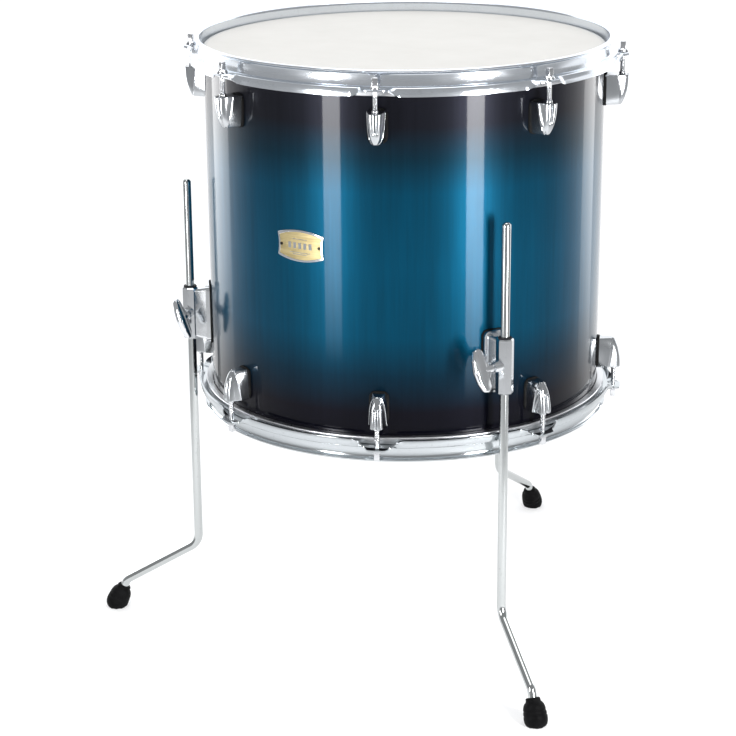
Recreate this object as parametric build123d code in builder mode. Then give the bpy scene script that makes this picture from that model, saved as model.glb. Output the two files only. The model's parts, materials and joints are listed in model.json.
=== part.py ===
"""A floor tom: an 18 by 16 inch drum standing on three bent legs, as separate pieces in millimetres.

The drum's axis is the Z axis and the floor is z = 0. The badge faces -Y. Every piece that repeats around
the drum is modelled once, lying along +X with x as its distance from the drum's axis, and is then turned
to its azimuth.
"""

import os
from math import degrees

from build123d import *

# ---- driving dimensions -------------------------------------------------------------------------
SHELL_R = 227.0  # outside of an 18 inch shell
SHELL_WALL = 7.2
SHELL_DEPTH = 406.4  # 16 inches
HEAD_Z = 690.0  # the batter head's playing surface above the floor
FILM = 0.3  # head film thickness

LUG_COUNT = 8
FIRST_LUG = 22.5  # azimuth of the first tuning station
ROD_CIRCLE_R = 246.5  # tension rods stand on this circle

BRACKET_AZIMUTHS = {"left": -144.9, "right": -35.1, "rear": 90.0}
FOOT_SWIVEL = {"left": -10.0, "right": -6.0, "rear": 0.0}  # how far each foot is turned from straight out
WING_SIDE = {"left": 1, "right": -1, "rear": 1}  # +1: the wing bolt leans towards rising azimuth
WING_LEAN = 73.0  # degrees from straight out to the wing bolt's axis
WING_TURN = {"left": 19.0, "right": 22.0, "rear": -15.0}  # how far each wing bolt is screwed round
LEG_AXIS_R = 250.7
LEG_ROD_R = 5.0
LEG_TIP_Z = 538.0
BRACKET_Z = 379.0  # middle of the leg brackets
WING_Z = BRACKET_Z + 2.0  # height of the wing bolts

# ---- heights that follow ------------------------------------------------------------------------
SHELL_TOP = HEAD_Z - FILM
SHELL_BOTTOM = SHELL_TOP - SHELL_DEPTH
MIDDLE_Z = (SHELL_TOP + SHELL_BOTTOM) / 2
MIDDLE = Plane.XY.offset(MIDDLE_Z)
SHELL_IN = SHELL_R - SHELL_WALL
GASKET = 1.0
SEAT_R = SHELL_R + GASKET  # castings are seated on the outside of their gaskets
BRACKET_SEAT_R = SHELL_R + 2 * GASKET

HOOP_TOP = HEAD_Z + 11.3
HOOP_SHEET = 2.3
HOOP_IN = 231.0
HOOP_LIP_R = 237.0
HOOP_STEP_TOP = HEAD_Z - 6.0
HOOP_STEP_R = 241.2
SKIRT_LOW = HEAD_Z - 15.9
SKIRT_R = 243.3
EAR_R = 254.5

LUG_TOP = HEAD_Z - 31.4
LUG_HEIGHT = 34.3
LUG_LOW = LUG_TOP - LUG_HEIGHT
LUG_R = 254.0
LUG_TIP_SET_BACK = 8.0  # how far the front falls back at the tip
LUG_RIDGE_R = 239.5  # the shield's edge at the rod end
LUG_RIDGE_RISE = 4.6  # how much further out that edge is at the tip
LUG_RIDGE_HALF = 10.2
LUG_SHARES = (0, 0.3, 0.55, 0.78, 0.92, 1)  # where the body's sections are, from rod end to tip
NUT_DEPTH = 14.0
LUG_SCREW_R = 2.5
LUG_SCREW_Z = (LUG_TOP - 8.0, LUG_TOP - 24.0)
ROD_R = 2.75
ROD_END_Z = LUG_TOP - 13.0
NUT_R = 5.0
NUT_DOME_R = 3.8
WASHER_TOP = HOOP_STEP_TOP + 1.2

SLEEVE_HALF = 31.0
SLEEVE_FLATS = 18.0
PLATE_WIDTH = 30.0
PLATE_HEIGHT = 70.0
PLATE_R = BRACKET_SEAT_R + 4.4
BOSS_R = 6.3
BUSH_R = 6.5
RUNNING = 0.06  # radial clearance of a running fit
WING_BOLT_R = 4.0
WING_THICKNESS = 8.5
BRACKET_SCREW_R = 3.0
BRACKET_SCREW_DZ = 25.0
BACKING = 1.5
HEAD_GAP = 0.1  # a flat screw head touches the curved shell only at its edges

BADGE_Z = 505.0
BADGE_WIDTH = 58.0
BADGE_HEIGHT = 35.0
BADGE_CORNER_DROP = 5.0  # how much lower the corners are than the middle of the top edge
BADGE_WAIST = 1.5  # how far the middle of each end is drawn in
BADGE_THICKNESS = 1.2
BADGE_PIN_Y = 23.5
VENT_AZIMUTH = 45.0
VENT_R = 5.0

os.makedirs("parts", exist_ok=True)


def turned(azimuth):
    """The place of a piece modelled along +X, turned to its azimuth."""
    return Location((0, 0, 0), (0, 0, azimuth))


def save(builder, name):
    """Label a finished piece and write it."""
    builder.part.label = name
    export_step(builder.part, f"parts/{name}.step")


def save_at(blank, places, name):
    """Write copies of a piece at the given places as one node."""
    with BuildPart() as piece:
        with Locations(*places):
            add(blank.part)
    save(piece, name)


def save_mirrored(blank, places, name):
    """Write copies of a top piece at the lower head, mirrored in the shell's middle plane."""
    with BuildPart() as piece:
        with Locations(*places):
            add(mirror(blank.part, about=MIDDLE, mode=Mode.PRIVATE))
    save(piece, name)


STATIONS = [turned(FIRST_LUG + 360.0 / LUG_COUNT * k) for k in range(LUG_COUNT)]
BRACKETS = {side: turned(azimuth) for side, azimuth in BRACKET_AZIMUTHS.items()}


# ---- shell --------------------------------------------------------------------------------------
BEVEL = SHELL_WALL - 1.0  # the inner 45 degree cut leaves the crest 1 mm from the outside

with BuildPart() as shell:
    with BuildSketch(Plane.XZ) as shell_section:
        with BuildLine():
            Polyline(
                (SHELL_IN, SHELL_BOTTOM + BEVEL),
                (SHELL_R - 1, SHELL_BOTTOM),
                (SHELL_R, SHELL_BOTTOM + 1),
                (SHELL_R, SHELL_TOP - 1),
                (SHELL_R - 1, SHELL_TOP),
                (SHELL_IN, SHELL_TOP - BEVEL),
                close=True,
            )
        make_face()
    revolve(axis=Axis.Z)
    lug_hole_z = [*LUG_SCREW_Z, *(2 * MIDDLE_Z - z for z in LUG_SCREW_Z)]
    with Locations(*STATIONS):
        with Locations(*[(SHELL_IN, 0, z) for z in lug_hole_z]):
            Cylinder(LUG_SCREW_R + 0.25, 30, rotation=(0, 90, 0), mode=Mode.SUBTRACT)
    with Locations(*BRACKETS.values()):
        with Locations(*[(SHELL_IN, 0, BRACKET_Z + s * BRACKET_SCREW_DZ) for s in (-1, 1)]):
            Cylinder(BRACKET_SCREW_R + 0.25, 30, rotation=(0, 90, 0), mode=Mode.SUBTRACT)
    with Locations(turned(VENT_AZIMUTH)):
        with Locations((SHELL_IN, 0, MIDDLE_Z)):
            Cylinder(VENT_R, 30, rotation=(0, 90, 0), mode=Mode.SUBTRACT)
save(shell, "shell")


# ---- heads --------------------------------------------------------------------------------------
COLLAR_R = SHELL_R + 2 * FILM
FLESH_TOP = HOOP_STEP_TOP - HOOP_SHEET
FLESH_LOW = FLESH_TOP - 8.0
CREST = SHELL_R - 1

with BuildPart() as film:
    with BuildSketch(Plane.XZ):
        with BuildLine():
            Polyline(
                (0, HEAD_Z),
                (CREST + 0.12, HEAD_Z),
                (COLLAR_R, HEAD_Z - 1.48),
                (COLLAR_R, FLESH_LOW + 1),
                (COLLAR_R - FILM, FLESH_LOW + 1),
                (COLLAR_R - FILM, SHELL_TOP - 1.3),
                (CREST, SHELL_TOP),
                (0, SHELL_TOP),
                close=True,
            )
        make_face()
    revolve(axis=Axis.Z)

with BuildPart() as flesh_hoop:
    with BuildSketch(Plane.XZ) as flesh_section:
        with BuildLine():
            Polyline(
                (COLLAR_R, FLESH_LOW),
                (235.0, FLESH_LOW),
                (235.0, FLESH_TOP),
                (COLLAR_R, FLESH_TOP),
                close=True,
            )
        make_face()
        fillet(flesh_section.vertices().sort_by(Axis.X)[2:], 1.2)
    revolve(axis=Axis.Z)

save(film, "batter_film")
save(flesh_hoop, "batter_flesh_hoop")
save_mirrored(film, [Location()], "resonant_film")
save_mirrored(flesh_hoop, [Location()], "resonant_flesh_hoop")


# ---- counter hoops ------------------------------------------------------------------------------
EAR_HALF_ROOT = 14.0
EAR_HALF_TIP = 10.0
SKIRT_GAP_TOP = 13.0  # half width of the skirt's break at each ear
SKIRT_GAP_LOW = 27.0

with BuildPart() as hoop:
    # rolled lip, upright wall and the step that presses on the flesh hoop
    with BuildSketch(Plane.XZ) as wall_section:
        with BuildLine():
            Polyline(
                (HOOP_IN, HOOP_TOP),
                (HOOP_LIP_R, HOOP_TOP),
                (HOOP_LIP_R, HOOP_TOP - 3.0),
                (HOOP_IN + HOOP_SHEET, HOOP_TOP - 3.6),
                (HOOP_IN + HOOP_SHEET, HOOP_STEP_TOP),
                (HOOP_STEP_R, HOOP_STEP_TOP),
                (HOOP_STEP_R, FLESH_TOP),
                (HOOP_IN, FLESH_TOP),
                close=True,
            )
        make_face()
        fillet(wall_section.vertices().group_by(Axis.Y)[-1], 1.3)
        fillet(wall_section.vertices().group_by(Axis.X)[-1], 0.8)
    revolve(axis=Axis.Z)
    # skirt that flares out below the step
    with BuildSketch(Plane.XZ) as skirt_section:
        with BuildLine():
            Polyline(
                (HOOP_STEP_R - HOOP_SHEET, HOOP_STEP_TOP - 1),
                (HOOP_STEP_R - 1, HOOP_STEP_TOP),
                (HOOP_STEP_R, HOOP_STEP_TOP - 0.8),
                (SKIRT_R, SKIRT_LOW),
                (SKIRT_R - HOOP_SHEET, SKIRT_LOW),
                close=True,
            )
        make_face()
    revolve(axis=Axis.Z, mode=Mode.ADD)
    # the skirt stops either side of each ear, with a sloping end
    with BuildSketch(Plane.YZ) as skirt_break:
        with BuildLine():
            Polyline(
                (-SKIRT_GAP_TOP, FLESH_TOP),
                (SKIRT_GAP_TOP, FLESH_TOP),
                (SKIRT_GAP_LOW, SKIRT_LOW - 1),
                (-SKIRT_GAP_LOW, SKIRT_LOW - 1),
                close=True,
            )
        make_face()
    gap = extrude(skirt_break.sketch.moved(Location((235.3, 0, 0))), amount=20, mode=Mode.PRIVATE)
    with Locations(*STATIONS):
        add(gap, mode=Mode.SUBTRACT)
    # ears
    with BuildSketch(Plane.XY.offset(FLESH_TOP)) as ear:
        with BuildLine():
            Polyline(
                (HOOP_IN + 2, -EAR_HALF_ROOT),
                (HOOP_STEP_R - 1, -EAR_HALF_ROOT),
                (EAR_R - 2, -EAR_HALF_TIP),
                (EAR_R, -EAR_HALF_TIP + 6),
                (EAR_R, EAR_HALF_TIP - 6),
                (EAR_R - 2, EAR_HALF_TIP),
                (HOOP_STEP_R - 1, EAR_HALF_ROOT),
                (HOOP_IN + 2, EAR_HALF_ROOT),
                close=True,
            )
        make_face()
        fillet(ear.vertices().sort_by(Axis.X)[-4:], 2.5)
        with Locations((ROD_CIRCLE_R, 0)):
            Circle(ROD_R + 0.6, mode=Mode.SUBTRACT)
    ear_plate = extrude(ear.sketch, amount=HOOP_SHEET, mode=Mode.PRIVATE)
    with Locations(*STATIONS):
        add(ear_plate)

save(hoop, "top_hoop")
save_mirrored(hoop, [Location()], "bottom_hoop")


# ---- lugs ---------------------------------------------------------------------------------------
def lug_half(share):
    """Half of a lug's plan outline, as (radius, half width) points, at a share of the way to its tip."""
    front = LUG_R - LUG_TIP_SET_BACK * share**2.5
    widest = LUG_RIDGE_HALF - 2.2 * share - 4.4 * share**6
    ridge = LUG_RIDGE_R + LUG_RIDGE_RISE * share
    base = LUG_RIDGE_HALF - 0.5 - 2.6 * share**6
    return [(SHELL_R - 3, base), (ridge, widest), (front - 1.4, 0.63 * widest), (front, 0.31 * widest)]


with BuildPart() as lug:
    # body with a shield-shaped front: a ridge runs from the rod end's back corners to the blunt tip
    for share in LUG_SHARES:
        half = lug_half(share)
        with BuildSketch(Plane.XY.offset(LUG_TOP - LUG_HEIGHT * share)):
            with BuildLine():
                Polyline(*half, *[(x, -y) for x, y in reversed(half)], close=True)
            make_face()
    loft(ruled=True)
    # base flange that fits the shell
    with BuildSketch(Plane.YZ.offset(SHELL_R - 3)):
        with Locations((0, (LUG_TOP + LUG_LOW) / 2)):
            RectangleRounded(21, LUG_HEIGHT + 2.4, 9.0)
    extrude(amount=7)
    Cylinder(SEAT_R, 3 * HEAD_Z, mode=Mode.SUBTRACT)
    # socket for the swivel nut, and the two screw holes
    with Locations((ROD_CIRCLE_R, 0, LUG_TOP - NUT_DEPTH / 2)):
        Cylinder(NUT_R, NUT_DEPTH + 0.02, mode=Mode.SUBTRACT)
    with Locations(*[(SHELL_R + 3, 0, z) for z in LUG_SCREW_Z]):
        Cylinder(LUG_SCREW_R, 14, rotation=(0, 90, 0), mode=Mode.SUBTRACT)

with BuildPart() as swivel_nut:
    with BuildSketch(Plane.XZ) as nut_section:
        with BuildLine():
            Polyline(
                (ROD_R + RUNNING, LUG_TOP - NUT_DEPTH),
                (NUT_R, LUG_TOP - NUT_DEPTH),
                (NUT_R, LUG_TOP),
                (NUT_DOME_R, LUG_TOP),
                (NUT_DOME_R, LUG_TOP + 1.6),
                (NUT_DOME_R - 0.6, LUG_TOP + 3.2),
                (ROD_R + RUNNING, LUG_TOP + 3.2),
                close=True,
            )
        make_face()
    revolve(axis=Axis.Z)
nut_at_rod = [station * Location((ROD_CIRCLE_R, 0, 0)) for station in STATIONS]

save_at(lug, STATIONS, "top_lugs")
save_mirrored(lug, STATIONS, "bottom_lugs")
save_at(swivel_nut, nut_at_rod, "top_swivel_nuts")
save_mirrored(swivel_nut, nut_at_rod, "bottom_swivel_nuts")

with BuildPart() as lug_gasket:
    with BuildSketch(Plane.YZ.offset(SHELL_R - 5)):
        with Locations((0, (LUG_TOP + LUG_LOW) / 2)):
            RectangleRounded(22.4, LUG_HEIGHT + 3.8, 9.6)
    extrude(amount=9)
    Cylinder(SEAT_R, 3 * HEAD_Z, mode=Mode.INTERSECT)
    Cylinder(SHELL_R, 3 * HEAD_Z, mode=Mode.SUBTRACT)
    with Locations(*[(SHELL_R, 0, z) for z in LUG_SCREW_Z]):
        Cylinder(LUG_SCREW_R + 0.25, 14, rotation=(0, 90, 0), mode=Mode.SUBTRACT)

with BuildPart() as lug_screw:
    with BuildSketch(Plane.XZ):
        with BuildLine():
            Polyline((0, 0), (4.6, 0), (4.6, -1.2), (3.4, -3.6), (0, -3.6), close=True)
        make_face()
    revolve(axis=Axis.Z)
    with Locations((0, 0, 8)):
        Cylinder(LUG_SCREW_R, 16)
    with BuildSketch(Plane.XY.offset(-3.6)):
        Rectangle(4.4, 0.9)
        Rectangle(0.9, 4.4)
    extrude(amount=1.4, mode=Mode.SUBTRACT)


def outward(x, z):
    """The place of a piece modelled along +Z from the shell's inside, pointing outwards at height z."""
    return Location((x, 0, z), (0, 90, 0))


def both_heads(blank, name):
    """Write a tuning piece that both heads share as one node."""
    with BuildPart() as piece:
        with Locations(*STATIONS):
            add(blank.part)
            add(mirror(blank.part, about=MIDDLE, mode=Mode.PRIVATE))
    save(piece, name)


with BuildPart() as lug_screw_pair:
    with Locations(*[outward(SHELL_IN - HEAD_GAP, z) for z in LUG_SCREW_Z]):
        add(lug_screw.part)

both_heads(lug_gasket, "lug_gaskets")
both_heads(lug_screw_pair, "lug_screws")


# ---- tension rods -------------------------------------------------------------------------------
HEAD_FLANGE_LOW = WASHER_TOP + 0.1
KEY_TOP = HEAD_Z + 5.9

with BuildPart() as rod_washer:
    with BuildSketch(Plane.XY.offset(HOOP_STEP_TOP)):
        with Locations((ROD_CIRCLE_R, 0)):
            Circle(6.2)
            Circle(ROD_R + RUNNING, mode=Mode.SUBTRACT)
    extrude(amount=WASHER_TOP - HOOP_STEP_TOP)

with BuildPart() as tension_rod:
    with BuildSketch(Plane.XZ):
        with BuildLine():
            Polyline(
                (0, ROD_END_Z),
                (ROD_R - 0.8, ROD_END_Z),
                (ROD_R, ROD_END_Z + 0.8),
                (ROD_R, HEAD_FLANGE_LOW),
                (5.6, HEAD_FLANGE_LOW),
                (5.6, HEAD_FLANGE_LOW + 1.2),
                (3.6, HEAD_FLANGE_LOW + 2.4),
                (0, HEAD_FLANGE_LOW + 2.4),
                close=True,
            )
        make_face()
    revolve(axis=Axis.Z)
    with BuildSketch(Plane.XY.offset(HEAD_FLANGE_LOW + 2)):
        Rectangle(6.0, 6.0)
    extrude(amount=KEY_TOP - HEAD_FLANGE_LOW - 2)
    chamfer(tension_rod.faces().sort_by(Axis.Z)[-1].edges(), 0.7)

save_at(rod_washer, STATIONS, "top_rod_washers")
save_mirrored(rod_washer, STATIONS, "bottom_rod_washers")
for number, place in enumerate(nut_at_rod, start=1):
    save_at(tension_rod, [place], f"top_tension_rod_{number}")
    save_mirrored(tension_rod, [place], f"bottom_tension_rod_{number}")


# ---- leg brackets -------------------------------------------------------------------------------
BOSS_END = 18.0  # the wing bolt's boss, measured from the leg rod's axis
leg_axis = Location((LEG_AXIS_R, 0, BRACKET_Z))
wing_start = Location((LEG_AXIS_R, 0, WING_Z))
wing_axis = wing_start * Location((0, 0, 0), (0, 0, WING_LEAN))

with BuildPart() as sleeve:
    with BuildSketch(Plane.XY.offset(BRACKET_Z - SLEEVE_HALF)):
        with Locations((LEG_AXIS_R, 0)):
            RegularPolygon(SLEEVE_FLATS / 2, 8, major_radius=False, rotation=22.5)
    extrude(amount=2 * SLEEVE_HALF)
    chamfer(sleeve.faces().filter_by(Axis.Z).edges(), 1.2)

with BuildPart() as bracket:
    # plate against the shell
    with BuildSketch(Plane.YZ.offset(SHELL_R - 4)):
        with Locations((0, BRACKET_Z)):
            RectangleRounded(PLATE_WIDTH, PLATE_HEIGHT, 7)
    extrude(amount=14)
    Cylinder(PLATE_R, 3 * HEAD_Z, mode=Mode.INTERSECT)
    # neck that narrows from the plate to the eight-sided sleeve
    with BuildSketch(Plane.YZ.offset(PLATE_R - 4)):
        with Locations((0, BRACKET_Z)):
            RectangleRounded(PLATE_WIDTH - 4, PLATE_HEIGHT - 6, 4)
    with BuildSketch(Plane.YZ.offset(LEG_AXIS_R - 5)):
        with Locations((0, BRACKET_Z)):
            RectangleRounded(15, 58, 3)
    loft()
    add(sleeve.part)
    # boss for the wing bolt
    with Locations(wing_axis):
        with Locations((BOSS_END / 2, 0, 0)):
            Cylinder(BOSS_R, BOSS_END, rotation=(0, 90, 0))
    Cylinder(BRACKET_SEAT_R, 3 * HEAD_Z, mode=Mode.SUBTRACT)
    # bores
    with Locations(leg_axis):
        Cylinder(BUSH_R + RUNNING, 4 * SLEEVE_HALF, mode=Mode.SUBTRACT)
    with Locations(wing_axis):
        with Locations((BOSS_END / 2 + 1, 0, 0)):
            Cylinder(WING_BOLT_R + RUNNING, BOSS_END + 2, rotation=(0, 90, 0), mode=Mode.SUBTRACT)
    with Locations(*[(SHELL_R + 3, 0, BRACKET_Z + s * BRACKET_SCREW_DZ) for s in (-1, 1)]):
        Cylinder(BRACKET_SCREW_R, 14, rotation=(0, 90, 0), mode=Mode.SUBTRACT)

with BuildPart() as bracket_gasket:
    with BuildSketch(Plane.YZ.offset(SHELL_R - 5)):
        with Locations((0, BRACKET_Z)):
            RectangleRounded(PLATE_WIDTH + 1.6, PLATE_HEIGHT + 1.6, 7.8)
    extrude(amount=12)
    Cylinder(BRACKET_SEAT_R, 3 * HEAD_Z, mode=Mode.INTERSECT)
    Cylinder(SHELL_R, 3 * HEAD_Z, mode=Mode.SUBTRACT)
    with Locations(*[(SHELL_R, 0, BRACKET_Z + s * BRACKET_SCREW_DZ) for s in (-1, 1)]):
        Cylinder(BRACKET_SCREW_R + 0.25, 14, rotation=(0, 90, 0), mode=Mode.SUBTRACT)

with BuildPart() as backing_plate:
    with BuildSketch(Plane.YZ.offset(SHELL_IN - 6)):
        with Locations((0, BRACKET_Z)):
            RectangleRounded(PLATE_WIDTH - 2, PLATE_HEIGHT - 2, 5)
    extrude(amount=10)
    Cylinder(SHELL_IN, 3 * HEAD_Z, mode=Mode.INTERSECT)
    Cylinder(SHELL_IN - BACKING, 3 * HEAD_Z, mode=Mode.SUBTRACT)
    with Locations(*[(SHELL_IN, 0, BRACKET_Z + s * BRACKET_SCREW_DZ) for s in (-1, 1)]):
        Cylinder(BRACKET_SCREW_R + 0.25, 14, rotation=(0, 90, 0), mode=Mode.SUBTRACT)

with BuildPart() as bracket_screw:
    with Locations((0, 0, -2)):
        Cylinder(5.4, 4)
    with BuildSketch(Plane.XY.offset(-4)):
        RegularPolygon(2.5, 6)
    extrude(amount=2.4, mode=Mode.SUBTRACT)
    with Locations((0, 0, 9)):
        Cylinder(BRACKET_SCREW_R, 18)

head_seat = SHELL_IN - BACKING - HEAD_GAP
with BuildPart() as bracket_screw_pair:
    with Locations(*[outward(head_seat, BRACKET_Z + s * BRACKET_SCREW_DZ) for s in (-1, 1)]):
        add(bracket_screw.part)

save_at(bracket_gasket, BRACKETS.values(), "bracket_gaskets")
save_at(backing_plate, BRACKETS.values(), "bracket_backing_plates")
save_at(bracket_screw_pair, BRACKETS.values(), "bracket_screws")


# ---- wing bolts and clamp shoes, modelled along +X from the leg rod's axis -----------------------
SHOE_END = 9.6

with BuildPart() as clamp_shoe:
    with Locations((SHOE_END / 2, 0, 0)):
        Cylinder(WING_BOLT_R - 0.05, SHOE_END, rotation=(0, 90, 0))
    Cylinder(BUSH_R + 0.1, 20, mode=Mode.SUBTRACT)

with BuildPart() as wing_bolt:
    # leaf with two rounded lobes
    with BuildSketch(Plane.XZ) as wings:
        lobe = [(24, 6), (27, 11), (28.5, 20.5), (32.5, 24.5), (38.5, 23.5), (43.5, 13)]
        with BuildLine():
            Polyline(*lobe, (45.5, 0), *[(x, -y) for x, y in reversed(lobe)], close=True)
        make_face()
        fillet([v for v in wings.vertices() if abs(v.Z) > 20], 2.4)
    extrude(amount=WING_THICKNESS / 2, both=True)
    chamfer(wing_bolt.faces().filter_by(Axis.Y).edges(), 1.6)
    # shank, collar and the hub that runs out along the leaf
    with BuildSketch(Plane.XY):
        with BuildLine():
            Polyline(
                (SHOE_END + 0.1, 0),
                (SHOE_END + 0.1, WING_BOLT_R - 0.8),
                (SHOE_END + 0.9, WING_BOLT_R),
                (BOSS_END + 1.6, WING_BOLT_R),
                (BOSS_END + 2.2, 4.9),
                (BOSS_END + 6.5, 5.1),
                (31, 4.0),
                (36, 2.3),
                (37, 0),
                close=True,
            )
        make_face()
    revolve(axis=Axis.X)


# ---- leg bushes, rods and feet, modelled about the leg rod's axis --------------------------------
BUSH_TOP = SLEEVE_HALF + 1.6

with BuildPart() as leg_bush:
    with BuildSketch(Plane.XZ):
        with BuildLine():
            Polyline(
                (LEG_ROD_R + RUNNING, -SLEEVE_HALF + 0.6),
                (BUSH_R, -SLEEVE_HALF + 0.6),
                (BUSH_R, SLEEVE_HALF + 0.3),
                (BUSH_R + 1.1, SLEEVE_HALF + 0.3),
                (BUSH_R + 1.1, BUSH_TOP - 0.5),
                (BUSH_R + 0.6, BUSH_TOP),
                (LEG_ROD_R + RUNNING, BUSH_TOP),
                close=True,
            )
        make_face()
    revolve(axis=Axis.Z)

KNEE_Z = 88.0  # where the upright would meet the sloping run
ANKLE_OUT = 90.0
ANKLE_Z = 36.0
TOE_OUT = 107.0  # where the foot's axis meets the floor
BEND_R = 20.0
rod_end = 0.42  # part of the ankle-to-floor run that the rod fills
rod_end_out = ANKLE_OUT + (TOE_OUT - ANKLE_OUT) * rod_end
rod_end_z = ANKLE_Z * (1 - rod_end)

with BuildPart() as leg_rod:
    with BuildLine() as leg_path:
        FilletPolyline(
            (0, 0, LEG_TIP_Z),
            (0, 0, KNEE_Z),
            (ANKLE_OUT, 0, ANKLE_Z),
            (rod_end_out, 0, rod_end_z),
            radius=(BEND_R, 11.0),
        )
    with BuildSketch(Plane.XY.offset(LEG_TIP_Z)):
        Circle(LEG_ROD_R)
    sweep()
    chamfer(leg_rod.faces().sort_by(Axis.Z)[-1].edges(), 1.8)
    with BuildSketch(Plane.XY.offset(LEG_TIP_Z)):
        Rectangle(4.2, 0.9)
    extrude(amount=-1.5, mode=Mode.SUBTRACT)

toe_run = Vector(TOE_OUT - ANKLE_OUT, 0, -ANKLE_Z)
foot_plane = Plane(
    origin=(TOE_OUT, 0, 0),
    x_dir=(toe_run.Z, 0, -toe_run.X),
    z_dir=(-toe_run.X, 0, -toe_run.Z),
)
FOOT_TOP = 31.0

with BuildPart() as foot_turned:
    with BuildSketch(Plane.XZ) as foot_section:
        with BuildLine():
            Line((0, -3.0), (7.0, -3.0))
            ThreePointArc((7.0, -3.0), (12.2, 2.2), (13.3, 9.0))
            Line((13.3, 9.0), (12.6, 17.5))
            ThreePointArc((12.6, 17.5), (11.4, 22.5), (8.6, 25.4))
            Polyline((8.6, 25.4), (8.2, FOOT_TOP - 0.8), (7.4, FOOT_TOP), (0, FOOT_TOP), (0, -3.0))
        make_face()
    revolve(axis=Axis.Z)

with BuildPart() as foot:
    with Locations(foot_plane.location):
        add(foot_turned.part)
    with Locations((TOE_OUT, 0, -20)):
        Box(80, 80, 40, mode=Mode.SUBTRACT)
    add(leg_rod.part, mode=Mode.SUBTRACT)


# ---- each leg station ---------------------------------------------------------------------------
for side, place in BRACKETS.items():
    lean = WING_SIDE[side] * WING_LEAN
    screw_line = place * wing_start * Location((0, 0, 0), (0, 0, lean))
    upright = place * Location((LEG_AXIS_R, 0, 0))
    swivelled = upright * Location((0, 0, 0), (0, 0, FOOT_SWIVEL[side]))
    with BuildPart() as casting:
        with Locations(place):
            if WING_SIDE[side] > 0:
                add(bracket.part)
            else:
                add(mirror(bracket.part, about=Plane.XZ, mode=Mode.PRIVATE))
    save(casting, f"bracket_{side}")
    save_at(clamp_shoe, [screw_line], f"clamp_shoe_{side}")
    save_at(wing_bolt, [screw_line * Location((0, 0, 0), (WING_TURN[side], 0, 0))], f"wing_bolt_{side}")
    save_at(leg_bush, [place * leg_axis], f"leg_bush_{side}")
    save_at(leg_rod, [swivelled], f"leg_rod_{side}")
    save_at(foot, [swivelled], f"foot_{side}")


# ---- badge and vent, badge facing -Y ------------------------------------------------------------
badge_plane = Plane(origin=(SHELL_R - 4, 0, BADGE_Z), x_dir=(0, 1, 0), z_dir=(1, 0, 0))
half_w = BADGE_WIDTH / 2
half_h = BADGE_HEIGHT / 2
side_h = half_h - BADGE_CORNER_DROP

with BuildPart() as badge:
    # top and bottom edges bow outwards, and the two ends bow inwards
    with BuildSketch(badge_plane) as badge_outline:
        with BuildLine():
            ThreePointArc((-half_w, side_h), (0, half_h), (half_w, side_h))
            ThreePointArc((half_w, side_h), (half_w - BADGE_WAIST, 0), (half_w, -side_h))
            ThreePointArc((half_w, -side_h), (0, -half_h), (-half_w, -side_h))
            ThreePointArc((-half_w, -side_h), (BADGE_WAIST - half_w, 0), (-half_w, side_h))
        make_face()
        fillet(badge_outline.vertices(), 2.4)
    extrude(amount=8)
    Cylinder(SHELL_R + BADGE_THICKNESS, 3 * HEAD_Z, mode=Mode.INTERSECT)
    Cylinder(SHELL_R, 3 * HEAD_Z, mode=Mode.SUBTRACT)

BADGE_PIN_TURN = degrees(BADGE_PIN_Y / SHELL_R)

with BuildPart() as badge_pin:
    with Locations((0, 0, 0.45)):
        Cylinder(1.6, 0.9)
    fillet(badge_pin.faces().sort_by(Axis.Z)[-1].edges(), 0.6)
pin_places = [turned(-90 + s * BADGE_PIN_TURN) * outward(SHELL_R + BADGE_THICKNESS, BADGE_Z) for s in (-1, 1)]

with BuildPart() as vent_grommet:
    with BuildSketch(Plane.XZ):
        with BuildLine():
            Polyline(
                (4.0, -SHELL_WALL - 1.0),
                (6.6, -SHELL_WALL - 1.0),
                (6.6, -SHELL_WALL - 0.2),
                (VENT_R, -SHELL_WALL - 0.2),
                (VENT_R, 0.2),
                (8.0, 0.2),
                (7.2, 1.2),
                (4.6, 1.2),
                (4.0, 0.6),
                close=True,
            )
        make_face()
    revolve(axis=Axis.Z)

save_at(badge, [turned(-90)], "badge")
save_at(badge_pin, pin_places, "badge_pins")
save_at(vent_grommet, [turned(VENT_AZIMUTH) * outward(SHELL_R, MIDDLE_Z)], "vent_grommet")
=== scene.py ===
"""Looks for the floor tom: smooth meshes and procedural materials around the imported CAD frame.

Everything is in metres in the row frame: the drum's axis is Z, the floor is z = 0 and the badge faces -Y.
Pieces that repeat are built once along +X and turned to their places.
"""

import json
import math

import bmesh
import bpy
from mathutils import Matrix, Vector


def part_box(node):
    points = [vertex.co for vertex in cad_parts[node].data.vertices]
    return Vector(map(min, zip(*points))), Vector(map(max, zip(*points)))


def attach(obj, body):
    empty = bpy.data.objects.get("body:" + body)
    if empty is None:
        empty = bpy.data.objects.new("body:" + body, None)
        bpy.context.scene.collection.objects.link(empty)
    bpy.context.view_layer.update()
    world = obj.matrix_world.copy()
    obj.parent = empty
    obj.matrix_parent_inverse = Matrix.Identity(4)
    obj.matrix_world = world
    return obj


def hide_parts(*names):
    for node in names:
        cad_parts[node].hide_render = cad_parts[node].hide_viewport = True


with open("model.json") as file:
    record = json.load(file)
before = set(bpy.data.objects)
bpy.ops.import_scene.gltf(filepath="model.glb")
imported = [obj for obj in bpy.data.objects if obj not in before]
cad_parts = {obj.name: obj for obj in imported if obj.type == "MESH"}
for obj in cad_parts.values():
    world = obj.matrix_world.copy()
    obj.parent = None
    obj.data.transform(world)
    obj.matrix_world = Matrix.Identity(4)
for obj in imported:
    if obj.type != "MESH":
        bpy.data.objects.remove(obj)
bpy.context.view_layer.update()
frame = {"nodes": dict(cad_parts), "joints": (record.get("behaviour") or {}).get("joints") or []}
MM = 0.001
NODES = frame["nodes"]
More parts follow.
